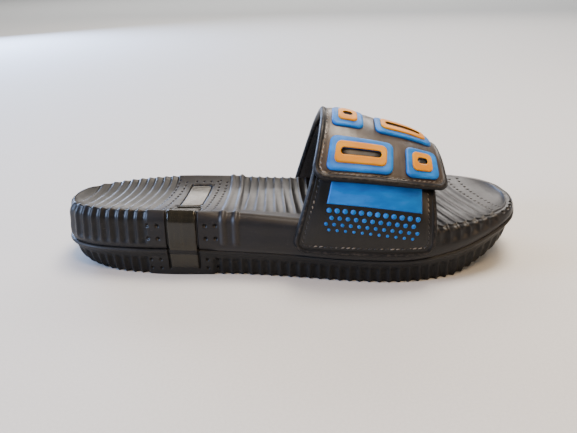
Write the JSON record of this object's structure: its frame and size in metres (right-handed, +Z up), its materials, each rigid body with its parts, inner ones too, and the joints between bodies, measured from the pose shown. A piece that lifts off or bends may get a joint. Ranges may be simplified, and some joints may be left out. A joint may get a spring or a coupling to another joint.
{
  "type": "sport slide sandal",
  "caption": "Moulded foam slide sandal for the right foot, ribbed footbed and side walls, wide instep strap in two overlapping halves with raised blue and yellow pods.",
  "frame": {"origin": "centre of the whole sandal's outline on the floor, at the bottom of the tread", "axes": "+X to the toe, +Y to the medial side, +Z up"},
  "size_m": [0.2834, 0.1155, 0.0957],
  "materials": {
    "outsole_foam": "satin moulded foam",
    "footbed_foam": "satin moulded foam",
    "band_plastic": "glossy olive grey",
    "plate_foil": "metallic beige film",
    "strap_leather": "black synthetic leather, soft sheen",
    "pod_blue": "satin moulded blue",
    "inlay_yellow": "satin moulded yellow"
  },
  "bodies": {
    "root": {"outsole": "outsole_foam", "midsole_footbed": "footbed_foam", "arch_band": "band_plastic", "footbed_plate": "plate_foil", "strap_lateral": "strap_leather", "strap_flap": "strap_leather", "pod_base_1": "pod_blue", "pod_base_2": "pod_blue", "pod_base_3": "pod_blue", "pod_base_4": "pod_blue", "pod_inlay_1": "inlay_yellow", "pod_inlay_2": "inlay_yellow", "pod_inlay_3": "inlay_yellow", "pod_inlay_4": "inlay_yellow", "lateral_motif": "pod_blue"}
  },
  "joints": []
}
